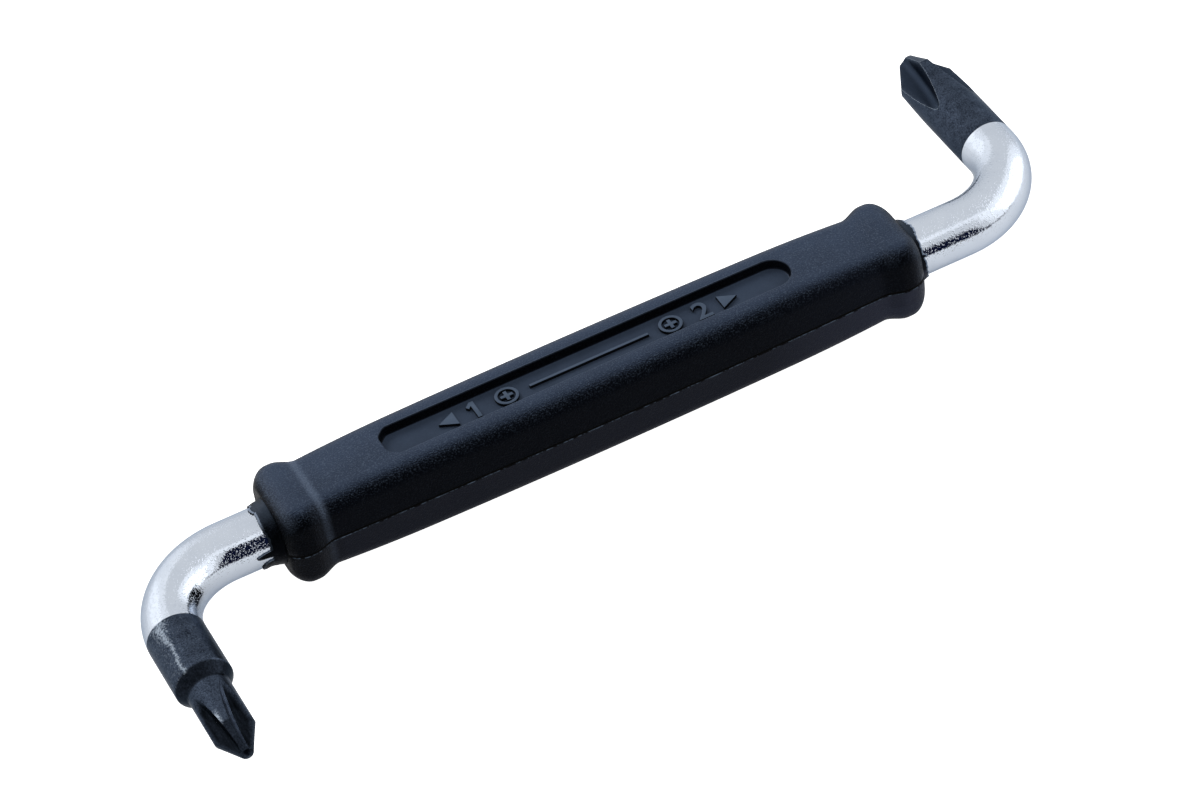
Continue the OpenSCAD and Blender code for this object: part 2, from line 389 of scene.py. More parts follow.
# A mask that is 1 on the scrape and on the rubbed crest, broken up by noise
def scrapeMask(tree, place):
    axes = axesOf(tree, place)
    flakes = noiseOf(tree, place, 0.2, 3, 0.7)
    sideways = [(scrape["x"] + side * scrape["wander"]) * mm for side in (-1, 1)]
    middle = spread(tree, noiseOf(tree, place, 3, 3, 0.6), (0.3, 0.7), sideways)
    away = reckon(tree, "ABSOLUTE", reckon(tree, "SUBTRACT", axes["X"], middle))
    widths = [scrape["halfWidth"] * mm, scrape["halfWidth"] * scrape["wider"] * mm]
    width = spreadAlong(tree, axes["Y"], (scrape["wideFrom"], scrape["stop"]), widths)
    near = spread(tree, reckon(tree, "DIVIDE", away, width), (0, 1), (1, 0))
    streak = spread(tree, reckon(tree, "MULTIPLY_ADD", near, 0.3, flakes), (0.62, 0.84), (0, 0.85))
    outer = spreadAlong(tree, axes["X"], (scrape["specksTo"], scrape["specksTo"] - 0.5), (0, 0.34))
    loose = reckon(tree, "MULTIPLY", outer, spread(tree, flakes, (0.55, 0.68)))
    mask = reckon(tree, "MAXIMUM", streak, loose)
    mask = reckon(tree, "MULTIPLY", mask, spreadAlong(tree, axes["Z"], scrape["topFrom"]))
    begun = spreadAlong(tree, axes["Y"], (scrape["start"], scrape["start"] + 0.3))
    mask = reckon(tree, "MULTIPLY", mask, begun)
    lean = (1, crestWear["stretch"], 1)
    drawn = addNode(tree, "ShaderNodeVectorMath", {0: place, 1: lean}, operation="MULTIPLY")
    away = addNode(tree, "ShaderNodeVectorMath", {
        0: drawn.outputs["Vector"], 1: [c * share * mm for c, share in zip(crestWear["middle"], lean)],
    }, operation="DISTANCE")
    near = spreadAlong(tree, away.outputs["Value"], (crestWear["radius"], 0), (0, 0.36))
    crest = spread(tree, reckon(tree, "ADD", near, flakes), (0.6, 0.86), (0, 0.85))
    crest = reckon(tree, "MULTIPLY", reckon(tree, "MULTIPLY", crest, near), 5, clamped=True)
    return reckon(tree, "MAXIMUM", mask, crest)


# Chemically blackened tool steel: dark slate, semi-matte, mottled, with paler rubbed places.
# Where the piece's kept attribute is 1, in the flutes, it is blacker and shows the wheel's fine lines,
# and where it is below zero, on the flute walls that face +X, it has a painted highlight.
# On a worn edge the finish is rubbed through to grey steel in stretches.
def blackenedSteel(
    name, tone="#161c26", paler="#465060", bare="#96a1ae", flute="#06080b", worn=(0.72, 0.9), scraped=False,
):
    material, tree = newMaterial(name)
    place = addNode(tree, "ShaderNodeTexCoord").outputs["Object"]
    fine = noiseOf(tree, place, grain["scaleSize"], 2, 0.6)
    blotches = noiseOf(tree, place, 1.3, 5, 0.7)
    rubbed = spread(tree, reckon(tree, "MULTIPLY_ADD", blotches, 0.6, fine), (0.56, 1.06))
    shade = blend(tree, rubbed, colourOf(tone), colourOf(paler))
    stretched = addNode(tree, "ShaderNodeMapping", {"Vector": place, "Scale": (1, 0.05, 1)})
    lines = noiseOf(tree, stretched.outputs["Vector"], 0.3, 2, 0.6)
    noted = addNode(tree, "ShaderNodeAttribute", attribute_name="kept", attribute_type="GEOMETRY")
    kept = reckon(tree, "MULTIPLY", noted.outputs["Fac"], spread(tree, lines, (0.3, 0.7), (1, 0.8)))
    shade = blend(tree, kept, shade, colourOf(flute))
    # painted highlight on the flute walls that face +X
    shade = blend(tree, reckon(tree, "MULTIPLY", kept, -1, clamped=True), shade, colourOf("#606c80"))
    through = spread(tree, blotches, worn, (0, 0.9))
    if scraped:
        through = reckon(tree, "MAXIMUM", through, scrapeMask(tree, place))
    paint(tree, {
        "Base Color": blend(tree, through, shade, colourOf(bare)),
        "Metallic": 1, "Specular Tint": colourOf("#c6cbd2"),
        "Roughness": spread(tree, blotches, (0.3, 0.7), (0.26, 0.4)),
        "Normal": bumpOf(tree, fine, grain["scaleDepth"]),
    })
    return material


polyamide = mouldedPolyamide("mouldedPolyamide")
# the recess was polished in the mould, so its floor and marks are smoother than the grip, and their paler
# tones are painted top light
recessFloor = mouldedPolyamide("recessFloorPolyamide", grainShare=0.12, roughness=0.36, paler="#343e4e")
raisedFace = mouldedPolyamide(
    "raisedMarkPolyamide", grainShare=0.12, roughness=0.36, base="#0c0e13", paler="#475364",
)
# painted highlight along the round of the recess's rim, where it catches the light
rimHighlight = mouldedPolyamide(
    "rimHighlightPolyamide", grainShare=0.3, roughness=0.5, base="#1c212a", paler="#4c5769",
)
# squeezed-out flash is thin and smooth, and pale where it has torn
lipFlash = mouldedPolyamide(
    "lipFlashPolyamide", grainShare=0.35, base="#040507", paler="#2c343f", glintTone="#424c5a",
)
lipEdge = mouldedPolyamide(
    "tornLipEdgePolyamide", grainShare=0.2, base="#3f4855", lower="#181c24", paler="#808c9e",
)
# the parting line's groove painted black as its shade, and the edge of flash below it
seamShade = partingSeam("partingSeamShadePolyamide")
seamFlash = partingSeam("partingFlashPolyamide", flash="#4a5665")
chrome = satinChrome("satinChromePlate")
blackSteel = blackenedSteel("blackenedToolSteel", flute="#262e3b")
scrapedSteel = blackenedSteel("blackenedToolSteelScraped", scraped=True)
wornEdge = blackenedSteel("blackenedSteelWornEdge", paler="#566273", bare="#97a2b0", worn=(0.42, 0.62))
wornRim = blackenedSteel("blackenedSteelWornRim", paler="#667384", bare="#a9b4c0", worn=(0.3, 0.46))
print("materials made")


# The bright bar: straight through the handle, a bend at each end

# A ring of the bar round a centre, where the bar heads so many radians round from +X
def barRing(centre, heading):
    across, up = Vector((-math.sin(heading), math.cos(heading), 0)), Vector((0, 0, 1))
    turns = [2 * math.pi * i / bar["around"] for i in range(bar["around"])]
    return [centre + bar["radius"] * (across * math.cos(a) + up * math.sin(a)) for a in turns]


# A ring on the bend before an arm, angle degrees round from the straight bar
def bendRing(armX, towards, angle):
    side = math.copysign(1, armX)
    turn = math.radians(angle)
    radius = bar["bendRadius"]
    middle = Vector((armX - side * radius, towards * radius, bar["height"]))
    outward = Vector((side * math.sin(turn), -towards * math.cos(turn), 0))
    return barRing(middle + radius * outward, turn)


def buildBar():
    ph1Turn = math.degrees(math.acos(1 - bar["ph1BlackStart"] / bar["bendRadius"]))
    rings = []
    for i in range(bar["bendSteps"], -1, -1):
        rings.append(bendRing(bar["ph1ArmX"], -1, ph1Turn * i / bar["bendSteps"]))
    for i in range(bar["bendSteps"] + 1):
        rings.append(bendRing(bar["ph2ArmX"], 1, 90 * i / bar["bendSteps"]))
    end = Vector((bar["ph2ArmX"], bar["ph2BlackStart"], bar["height"]))
    rings.append(barRing(end, math.pi / 2))
    bm = bmesh.new()
    growRings(bm, rings)
    cleanUp(bm)
    piece = finishPiece("bar_bright", bm, [chrome], "chrome_bar")
    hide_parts("shank")


buildBar()
print("bar made")


# The two cross points: a turned blank, with four flutes ground by a wheel that runs out on it

# In mm: reach counts from the bar's long axis, and fluteLength back from the point's end
ph1 = {
    "reach": -ph1Low.y,
    "collarLength": 6.6,
    "shoulderLength": 1.2,
    "shoulderEdge": 0.2,  # between the collar's edge and the rings beside it
    "filletRadius": 0.6,
    "filletSteps": 8,
    "bendRings": 4,  # rings of the black finish that are still on the bend
    "neckRadius": 2.2,
    "endRadius": 0.635,
    "fluteLength": 9.2,
    "coreRadius": 0.42,
    "rootRadius": 0.3,
    "rootFacet": 0.5,  # half the width of the blunter V at the bottom of each flute
    "wheelPast": 0.6,  # how far past the point's end the wheel goes deepest
    "wingTurn": 15,  # degrees that the wings are turned round the arm
    "brightWall": 1,  # how strongly the flute walls that face +X take the painted highlight
    "shoulderKept": 0.9,  # the share of the flute's darkness on the shoulder and the cone, where a flute's root has 1
    "coneKept": 0.7,
}

ph2 = {
    "reach": ph2High.y,
    "neckRadius": bar["radius"],
    "endRadius": 1.145,
    "fluteLength": 11.1,
    "coreRadius": 0.82,
    "rootRadius": 0.8,
    "rootFacet": 0,
    "wheelPast": -0.8,
    "wingTurn": 0,
    "brightWall": 0,
}

point = {
    "coneAngle": 26.5,
    "bluntAngle": 28,
    "fluteAngle": 92,
    "rootAngle": 138,
    "crestSteps": 22,
    "flankSteps": 11,
    "rootCrowding": 1.8,  # draws the steps across a flute towards its root
    "sharpAngle": 20,  # edges sharper than this are rounded
    "edgeRound": 0.12,
    "darkening": 6,  # how soon a flute turns black as it gets deeper
    "brightFacing": (0.5, 0.7),  # how far a wall faces +X, from where its painted highlight begins to where it is strongest
    "sections": (44, 24, 8),  # over the neck's flutes, the cone and the blunt end
    "runOutCrowding": 1.3,  # draws the first of these towards the flutes' run-out
}


def bluntStart(tip):
    return tip["reach"] - tip["endRadius"] * math.tan(math.radians(point["bluntAngle"]))


def coneStart(tip):
    slope = math.tan(math.radians(point["coneAngle"]))
    return bluntStart(tip) - (tip["neckRadius"] - tip["endRadius"]) / slope


# How far from the arm's axis the grinding wheel's surface is, at a place along the arm and an offset
# from the middle of the flute
def wheelDepth(tip, along, offset):
    half = math.radians(point["fluteAngle"] / 2)
    run = tip["fluteLength"] + tip["wheelPast"]
    depth = tip["neckRadius"] - tip["coreRadius"]
    wheelRadius = (run ** 2 + depth ** 2) / (2 * depth)
    rounded = tip["rootRadius"] * math.cos(half)
    start = wheelRadius - tip["rootRadius"] + tip["rootRadius"] * math.sin(half)
    offset = abs(offset)
    if offset < tip["rootFacet"]:
        edge = start - (tip["rootFacet"] - rounded) / math.tan(half)
        edge += (tip["rootFacet"] - offset) / math.tan(math.radians(point["rootAngle"] / 2))
    elif offset < rounded:
        edge = wheelRadius - tip["rootRadius"] + math.sqrt(tip["rootRadius"] ** 2 - offset ** 2)
    else:
        edge = start - (offset - rounded) / math.tan(half)
    behind = along - tip["reach"] - tip["wheelPast"]
    return tip["coreRadius"] + wheelRadius - math.sqrt(max(0, edge ** 2 - behind ** 2))


# Half the width of the flute's mouth on a blank of that radius, found by halving
def fluteHalfWidth(tip, along, radius):
    if wheelDepth(tip, along, 0) >= radius:
        return 0
    low, high = 0, radius
    for _ in range(40):
        middle = (low + high) / 2
        if wheelDepth(tip, along, middle) ** 2 + middle ** 2 < radius ** 2:
            low = middle
        else:
            high = middle
    return low


# One section of a point: four crests on the blank, and between them four flutes
def pointRing(tip, along, radius):
    half = fluteHalfWidth(tip, along, radius)
    mouth = math.asin(min(1, half / radius)) if radius > 0 else 0
    spots = []
    for quarter in range(4):
        middle = math.radians(tip["wingTurn"] + 45 + 90 * quarter)
        outward = Vector((math.cos(middle), math.sin(middle), 0))
        across = Vector((-outward.y, outward.x, 0))
        for i in range(-point["flankSteps"], point["flankSteps"]):
            share = abs(i / point["flankSteps"]) ** point["rootCrowding"]
            offset = math.copysign(half * share, i)
            deep = wheelDepth(tip, along, offset) if half else radius
            deep = min(deep, math.sqrt(max(0, radius ** 2 - offset ** 2)))
            spots.append(outward * deep + across * offset + Vector((0, 0, along)))
        for i in range(point["crestSteps"]):
            turn = middle + mouth + (math.pi / 2 - 2 * mouth) * i / point["crestSteps"]
            spots.append(Vector((radius * math.cos(turn), radius * math.sin(turn), along)))
    return spots


# Places along the arm and the blank's radius there, from start to the blunt end
def pointStations(tip, start):
    cone, blunt, reach = coneStart(tip), bluntStart(tip), tip["reach"]
    runOut = reach - tip["fluteLength"]
    fluted, coned, blunted = point["sections"]
    stations = [(start, tip["neckRadius"]), (runOut - 0.1, tip["neckRadius"])]
    for i in range(fluted + 1):
        share = (i / fluted) ** point["runOutCrowding"]
        stations.append((runOut + (cone - runOut) * share, tip["neckRadius"]))
    for i in range(1, coned + 1):
        share = i / coned
        radius = tip["neckRadius"] + (tip["endRadius"] - tip["neckRadius"]) * share
        stations.append((cone + (blunt - cone) * share, radius))
    for i in range(1, blunted + 1):
        stations.append((blunt + (reach - blunt) * i / blunted, tip["endRadius"] * (1 - i / blunted)))
    return stations


# Notes at each place how much of the black finish is kept: all in a flute's root; the slopes given take
# a share of that darkness, and the walls that face +X less than none, for a painted highlight
def markKept(bm, tip, slopes):
    cone = coneStart(tip)
    slope = math.tan(math.radians(point["coneAngle"]))
    least, most = point["brightFacing"]
    kept = bm.verts.layers.float.new("kept")
    bm.normal_update()
    for vert in bm.verts:
        along, out = vert.co.z, math.hypot(vert.co.x, vert.co.y)
        blank = max(tip["endRadius"], tip["neckRadius"] - max(0, along - cone) * slope)
        fluted = tip["reach"] - tip["fluteLength"] - 0.5 < along < bluntStart(tip) + 0.05
        deep = (blank - out) / blank if fluted else 0
        facing = max(0, min(1, (vert.normal.x - least) / (most - least)))
        bright = facing * tip["brightWall"] if deep > 0.02 else 0
        vert[kept] = min(1, max(0, deep) * point["darkening"]) * (1 - 2 * bright)
        for start, stop, share in slopes:
            if start < along < stop and bright < 0.1:
                vert[kept] = max(vert[kept], share)


# Stands the point, made along Z, on its arm
def placePoint(bm, armX, towards):
    turned = Matrix.Rotation(math.radians(-90 * towards), 4, "X")
    placed = Matrix.Translation((armX, 0, bar["height"])) @ turned
    bmesh.ops.transform(bm, matrix=placed, verts=bm.verts)


# The small point's first rings, which are still on the bend: how far along, how far aside, and the turn
def blackStart():
    radius, count = bar["bendRadius"], ph1["bendRings"]
    whole = math.acos(1 - bar["ph1BlackStart"] / radius)
    turns = [whole + (math.pi / 2 - whole) * i / count for i in range(count)]
    return [(radius - radius * math.cos(turn), radius - radius * math.sin(turn), turn) for turn in turns]


def buildPh1():
    collarEnd = bar["bendRadius"] + ph1["collarLength"]
    neckStart = collarEnd + ph1["shoulderLength"]
    full, neck, fillet = bar["radius"], ph1["neckRadius"], ph1["filletRadius"]
    slope = math.atan2(ph1["shoulderLength"], full - neck)
    touch = fillet * math.tan((math.pi / 2 - slope) / 2)
    rings = []
    for along, aside, turn in blackStart():
        # on the bend the ring is tipped towards the handle, which lies on +X here
        tipped = Matrix.Rotation(turn - math.pi / 2, 4, "Y")
        place = Matrix.Translation((aside, 0, along)) @ tipped
        rings.append([place @ Vector((s.x, s.y, 0)) for s in pointRing(ph1, 0, full)])
    edge = ph1["shoulderEdge"] / math.hypot(ph1["shoulderLength"], full - neck)
    stations = [(bar["bendRadius"], full), (collarEnd - ph1["shoulderEdge"], full), (collarEnd, full)]
    stations.append((collarEnd + edge * ph1["shoulderLength"], full - edge * (full - neck)))
    for i in range(ph1["filletSteps"] + 1):
        turn = slope + (math.pi / 2 - slope) * i / ph1["filletSteps"]
        along = neckStart + touch - fillet * math.cos(turn)
        stations.append((along, neck + fillet - fillet * math.sin(turn)))
    stations += pointStations(ph1, neckStart + touch)[1:]
    rings += [pointRing(ph1, along, radius) for along, radius in stations]
    bm = bmesh.new()
    growRings(bm, rings)
    cleanUp(bm)
    for face in roundSharpEdges(bm, point["sharpAngle"], point["edgeRound"]):
        face.material_index = 1
    markKept(bm, ph1, [
        (collarEnd + 0.02, neckStart + 0.2, ph1["shoulderKept"]),
        (coneStart(ph1) + 0.04, bluntStart(ph1) + 0.3, ph1["coneKept"]),
    ])
    placePoint(bm, bar["ph1ArmX"], -1)
    piece = finishPiece("ph1_point", bm, [scrapedSteel, wornEdge], "black_steel", smoothAngle=50)
    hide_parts("ph1_tip")


def buildPh2():
    bm = bmesh.new()
    stations = pointStations(ph2, bar["ph2BlackStart"])
    growRings(bm, [pointRing(ph2, along, radius) for along, radius in stations])
    cleanUp(bm)
    for face in roundSharpEdges(bm, point["sharpAngle"], point["edgeRound"]):
        face.material_index = 1
    markKept(bm, ph2, [])
    placePoint(bm, bar["ph2ArmX"], 1)
    piece = finishPiece("ph2_point", bm, [blackSteel, wornRim], "black_steel", smoothAngle=50)
    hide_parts("ph2_tip")


buildPh1()
buildPh2()
print("points made")


# The handle: sections along X, then the recess cut in its top

handle = {
    "length": 70.6,
    "gripWidth": 10.2,
    "gripHeight": 9.6,
    "levelLength": 40,
    "neckWidth": 9.3,
    "neckHeight": 8.9,
    "guardWidth": 10.6,
    "guardHeight": 9.6,
    "guardLength": 4.8,
    "guardRise": 2.4,
    "endRound": 2.2,
    "endDrop": 1.15,
    "corner": 2.0,
    "sideDraft": 5,
    "partGroove": 0.18,  # half the height of the parting line, and its depth
    "partShadow": 0.64,  # the share of its lower face that is painted black as shade, under the edge of flash
    "partStep": -0.03,  # how far the lower half stands in; below zero it stands out
    "cornerSteps": 14,
    "sideSteps": 3,
    "sections": (5, 10, 18, 12),  # over half the level stretch, the taper, the guard and the end's round
}


# Where the guard starts, from the middle of the handle
def neckPlace():
    return handle["length"] / 2 - handle["guardLength"]


# How far back from the handle's end its round reaches
def endRoundLength():
    return math.sqrt(handle["endRound"] ** 2 - (handle["endRound"] - handle["endDrop"]) ** 2)


def guardRise(x):
    t = max(0, min(1, (x - neckPlace()) / handle["guardRise"]))
    return t * t * (3 - 2 * t)


def endDrop(x):
    radius = handle["endRound"]
    past = max(0, x - (handle["length"] / 2 - endRoundLength()))
    return radius - math.sqrt(max(0, radius ** 2 - past ** 2))


def halfWidth(x):
    t = min(1, x / neckPlace())
    grip = handle["gripWidth"] - (handle["gripWidth"] - handle["neckWidth"]) * t ** 2
    return (grip + (handle["guardWidth"] - handle["neckWidth"]) * guardRise(x)) / 2 - endDrop(x)


def halfHeight(x):
    level = handle["levelLength"] / 2
    t = max(0, min(1, (x - level) / (neckPlace() - level)))
    grip = handle["gripHeight"] - (handle["gripHeight"] - handle["neckHeight"]) * t ** 2
    return (grip + (handle["guardHeight"] - handle["neckHeight"]) * guardRise(x)) / 2 - endDrop(x)


# From beside the parting line, up the drafted side and round the corner to the top
def handleQuarter(width, height, step):
    draft = math.radians(handle["sideDraft"])
    corner, groove = handle["corner"], handle["partGroove"]
    centreZ = height - corner
    centreY = width - centreZ * math.tan(draft) - corner / math.cos(draft)
    cornerFoot = Vector((centreY + corner * math.cos(draft), centreZ + corner * math.sin(draft)))
    foot = Vector((width - groove * math.tan(draft), groove))
    spots = [foot.lerp(cornerFoot, i / handle["sideSteps"]) for i in range(handle["sideSteps"])]
    for i in range(handle["cornerSteps"] + 1):
        turn = draft + (math.pi / 2 - draft) * i / handle["cornerSteps"]
        spots.append(Vector((centreY + corner * math.cos(turn), centreZ + corner * math.sin(turn))))
    return [Vector((spot.x - step, spot.y)) for spot in spots]


def handleRing(x):
    width, height = halfWidth(abs(x)), halfHeight(abs(x))
    upper = handleQuarter(width, height, 0)
    lower = handleQuarter(width, height, handle["partStep"])
    root = Vector((width - handle["partGroove"] - handle["partStep"], 0))
    lower = [root.lerp(lower[0], handle["partShadow"])] + lower
    outline = [root] + upper + [Vector((-s.x, s.y)) for s in reversed(upper)] + [-root]
    outline += [-s for s in lower] + [Vector((s.x, -s.y)) for s in reversed(lower)]
    return [Vector((x, y, z + bar["height"])) for y, z in outline]


def handlePlaces():
    half, level = handle["length"] / 2, handle["levelLength"] / 2
    neck, length = neckPlace(), endRoundLength()
    flat, taper, guard, end = handle["sections"]
    places = [level * i / flat for i in range(flat)]
    places += [level + (neck - level) * i / taper for i in range(taper)]
    places += [neck + (half - length - neck) * i / guard for i in range(guard)]
    places += [half - length + length * math.sin(math.pi / 2 * i / end) for i in range(end + 1)]
    return [-x for x in reversed(places[1:])] + places


recess = {
    "length": 45,
    "width": 4.1,
    "depth": 1.1,
    "cutCorner": 0.95,
    "cornerRound": 0.85,
    "floorFillet": 0.3,
    "wallDraft": 4,
    "rimRound": 0.14,
    "rimTurn": 65,  # degrees that the rim's round turns before it meets the top
    "cutterOver": (1.2, 0.5),  # how far the cutter goes past the rim, sideways and up
    "floorSteps": 5,
    "rimSteps": 4,
}


# Centre, radius, turn and steps of each round of the recess's outline, counterclockwise
def recessArcs():
    half, wide = recess["length"] / 2, recess["width"] / 2
    cut, r = recess["cutCorner"], recess["cornerRound"]
    short = r * (math.sqrt(2) - 1)
    return [
        ((half - wide, 0), wide, -90, 90, 28),
        ((cut - half + short, wide - r), r, 90, 135, 5),
        ((r - half, wide - cut - short), r, 135, 180, 5),
        ((r - half, cut + short - wide), r, 180, 225, 5),
        ((cut - half + short, r - wide), r, 225, 270, 5),
    ]


def recessRing(outset, z):
    spots = []
    for (x, y), radius, start, stop, steps in recessArcs():
        for i in range(steps + 1):
            turn = math.radians(start + (stop - start) * i / steps)
            reach = radius + outset
            spots.append(Vector((x + reach * math.cos(turn), y + reach * math.sin(turn), z)))
    return spots


def buildRecessCutter():
    top = handle["gripHeight"]
    floor, fillet, rim = top - recess["depth"], recess["floorFillet"], recess["rimRound"]
    rings = []
    for i in range(recess["floorSteps"] + 1):
        turn = math.pi / 2 * i / recess["floorSteps"]
        rings.append(recessRing(fillet * (math.sin(turn) - 1), floor + fillet * (1 - math.cos(turn))))
    draft = (recess["depth"] - fillet - rim) * math.tan(math.radians(recess["wallDraft"]))
    for i in range(recess["rimSteps"] + 1):
        turn = math.radians(recess["rimTurn"]) * i / recess["rimSteps"]
        rings.append(recessRing(draft + rim * (1 - math.cos(turn)), top - rim + rim * math.sin(turn)))
    aside, above = recess["cutterOver"]
    rings.append(recessRing(draft + rim + aside, top + above))
    bm = bmesh.new()
    growRings(bm, rings)
    bmesh.ops.recalc_face_normals(bm, faces=bm.faces)
    # the floor and its fillet take the recess floor's polyamide, the walls the grip's, and the rim's round
    # the painted highlight
    for face in bm.faces:
        middle = face.calc_center_median().z
        face.material_index = 0 if middle < floor + fillet * 0.6 else 1 if middle < top - rim else 2
    return finishPiece("recess_cutter", bm, [recessFloor, polyamide, rimHighlight])


def buildHandle():
    bm = bmesh.new()
    growRings(bm, [handleRing(x) for x in handlePlaces()])
    bmesh.ops.recalc_face_normals(bm, faces=bm.faces)
    # the parting line's groove takes the painted shade, and its lowest strip the flash
    for face in bm.faces:
        up = (face.calc_center_median().z - bar["height"]) / handle["partGroove"]
        if abs(up) < 0.9 and abs(face.normal.x) < 0.9:
            face.material_index = 1 if up > -handle["partShadow"] else 2
    piece = finishPiece("handle_moulding", bm, [polyamide, seamShade, seamFlash], "handle_plastic")
    subtract(piece, buildRecessCutter())
    bm = bmesh.new()
    bm.from_mesh(piece.data)
    bmesh.ops.remove_doubles(bm, verts=bm.verts, dist=0.002 * mm)
    bm.to_mesh(piece.data)
    bm.free()
    piece.data.shade_smooth()
    piece.data.set_sharp_from_angle(angle=math.radians(34))
    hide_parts("handle")
    return piece


plasticPieces = [buildHandle()]
print("handle made")


# Generic size marks, raised from the recess's floor: 1 and 2 with a cross point and an arrow each, and a
# line between them

marks = {
    "height": 2.5,
    "stroke": 0.46,
    "raise": 0.34,
    "edgeRound": 0.05,
    "sink": 0.05,
    "places": {"arrow": 15.6, "numeral": 12.6, "cross": 9.1, "line": 6.6},
    "figureShare": 0.7,  # a figure's height as a share of the font's size
    "bolder": 0.06,  # how far the font's outline is moved out
    "arrowShares": (0.75, 0.8),  # of half the height: half the arrow's length and half its width
    "crossArmShare": 0.27,  # of the height
    # half widths and a width, of the stroke
    "crossStrokeShare": 0.42,
    "lineStrokeShare": 0.36,
    "ringStrokeShare": 0.75,
}


# Raises the faces to the mark's height and rounds their upper edges
def raiseMark(bm, faces):
    raised = bmesh.ops.extrude_face_region(bm, geom=faces)["geom"]
    verts = [item for item in raised if isinstance(item, bmesh.types.BMVert)]
    bmesh.ops.translate(bm, vec=(0, 0, marks["raise"] + marks["sink"]), verts=verts)
    tops = {item for item in raised if isinstance(item, bmesh.types.BMFace)}
    rim = [e for face in tops for e in face.edges if not all(f in tops for f in e.link_faces)]
    bmesh.ops.bevel(
        bm, geom=rim, offset=marks["edgeRound"], offset_type="OFFSET", segments=2,
        profile=0.5, affect="EDGES", material=-1,
    )


def outlineMark(bm, x, outline):
    raiseMark(bm, [bm.faces.new([bm.verts.new((x + sx, sy, 0)) for sx, sy in outline])])


def textMark(bm, text, x):
    curve = bpy.data.curves.new("mark", "FONT")
    curve.body = text
    curve.size = marks["height"] / marks["figureShare"]
    curve.align_x = "CENTER"
    curve.offset = marks["bolder"]
    curve.fill_mode = "FRONT"
    carrier = bpy.data.objects.new("mark", curve)
    bpy.context.scene.collection.objects.link(carrier)
    bpy.context.view_layer.update()
    mesh = bpy.data.meshes.new_from_object(carrier.evaluated_get(bpy.context.evaluated_depsgraph_get()))
    bpy.data.objects.remove(carrier)
    low = min(v.co.y for v in mesh.vertices)
    high = max(v.co.y for v in mesh.vertices)
    mesh.transform(Matrix.Translation((x, -(low + high) / 2, 0)))
    before = set(bm.faces)
    bm.from_mesh(mesh)
    faces = [face for face in bm.faces if face not in before]
    bmesh.ops.remove_doubles(bm, verts=list({v for face in faces for v in face.verts}), dist=0.001)
    raiseMark(bm, [face for face in bm.faces if face not in before])


# A cross point seen end on: a plus in a ring
def crossMark(bm, x):
    half, arm = marks["height"] / 2, marks["height"] * marks["crossArmShare"]
    wide = marks["stroke"] * marks["crossStrokeShare"]
    outline = []
    for turn in range(4):
        spin = Matrix.Rotation(math.pi / 2 * turn, 2)
        outline += [spin @ Vector(spot) for spot in ((wide, wide), (wide, arm), (-wide, arm))]
    outlineMark(bm, x, [(spot.x, spot.y) for spot in outline])
    radii = (half, half - marks["stroke"] * marks["ringStrokeShare"])
    rings = [bmesh.ops.create_circle(bm, segments=48, radius=r)["verts"] for r in radii]
    edges = {edge for ring in rings for vert in ring for edge in vert.link_edges}
    band = bmesh.ops.bridge_loops(bm, edges=list(edges))["faces"]
    bmesh.ops.translate(bm, vec=(x, 0, 0), verts=rings[0] + rings[1])
    raiseMark(bm, band)


def buildMarks():
    bm = bmesh.new()
    half, stroke, at = marks["height"] / 2, marks["stroke"], marks["places"]
    long, wide = [half * share for share in marks["arrowShares"]]
    for side, text in ((-1, "1"), (1, "2")):
        outlineMark(bm, side * at["arrow"], [(side * long, 0), (-side * long, wide), (-side * long, -wide)])
        if text == "1":
            left, right = -stroke * 0.3, stroke * 0.7
            outlineMark(bm, side * at["numeral"], [
                (right, half), (left, half), (-half * 0.55, half * 0.55), (-half * 0.36, half * 0.28),
                (left, half * 0.52), (left, -half), (right, -half),
            ])
        else:
            textMark(bm, text, side * at["numeral"])
        crossMark(bm, side * at["cross"])
    thin = stroke * marks["lineStrokeShare"]
    outlineMark(bm, 0, [(-at["line"], -thin), (at["line"], -thin), (at["line"], thin), (-at["line"], thin)])
    floor = handle["gripHeight"] - recess["depth"]
    bmesh.ops.translate(bm, vec=(0, 0, floor - marks["sink"]), verts=bm.verts)
    bmesh.ops.recalc_face_normals(bm, faces=bm.faces)
    return finishPiece("size_marks", bm, [raisedFace], "handle_plastic", 30)


plasticPieces.append(buildMarks())
print("marks made")


# The moulding lips: thin ragged flash that the mould has squeezed out round the bar

lips = {
    "around": 360,
    "rows": 10,
    "buried": 0.6,  # how far they start inside the handle's end
    "clear": 0.015,  # between the flash and the bar
    "shortest": 0.25,
    "thinOver": 1.2,  # the length over which it thins to its edge
    "thinCurve": 1.4,
    "uneven": 0.3,  # how much its thickness varies, and how often
    "unevenPace": 2.2,
    "waves": [(3, 1), (9, 0.7), (30, 0.5)],  # how closely its edge waves, and how strongly
}

# Each tooth: angle round the bar (0 front, 90 top) and half-width in degrees, extra length in mm,
# and how pointed it is
ph1Lip = {
    "side": -1, "length": 1.3, "thick": 0.46, "edge": 0.16, "ragged": 0.1, "seed": 3.1,
    "teeth": [
        (3, 7, 1.55, 0.75), (-31, 17, 1.15, 0.4), (102, 12, 0.35, 0.3), (60, 30, 0.12, 0.8),
        (168, 9, 0.4, 0.6),
    ],
}
ph2Lip = {
    "side": 1, "length": 0.85, "thick": 0.46, "edge": 0.24, "ragged": 0.14, "seed": 8.4,
    "teeth": [
        (24, 3, 0.4, 1), (-16, 6, 0.22, 0.4), (-38, 9, 0.28, 0.3), (80, 12, 0.25, 0.25),
        (150, 10, 0.3, 0.6),
    ],
}


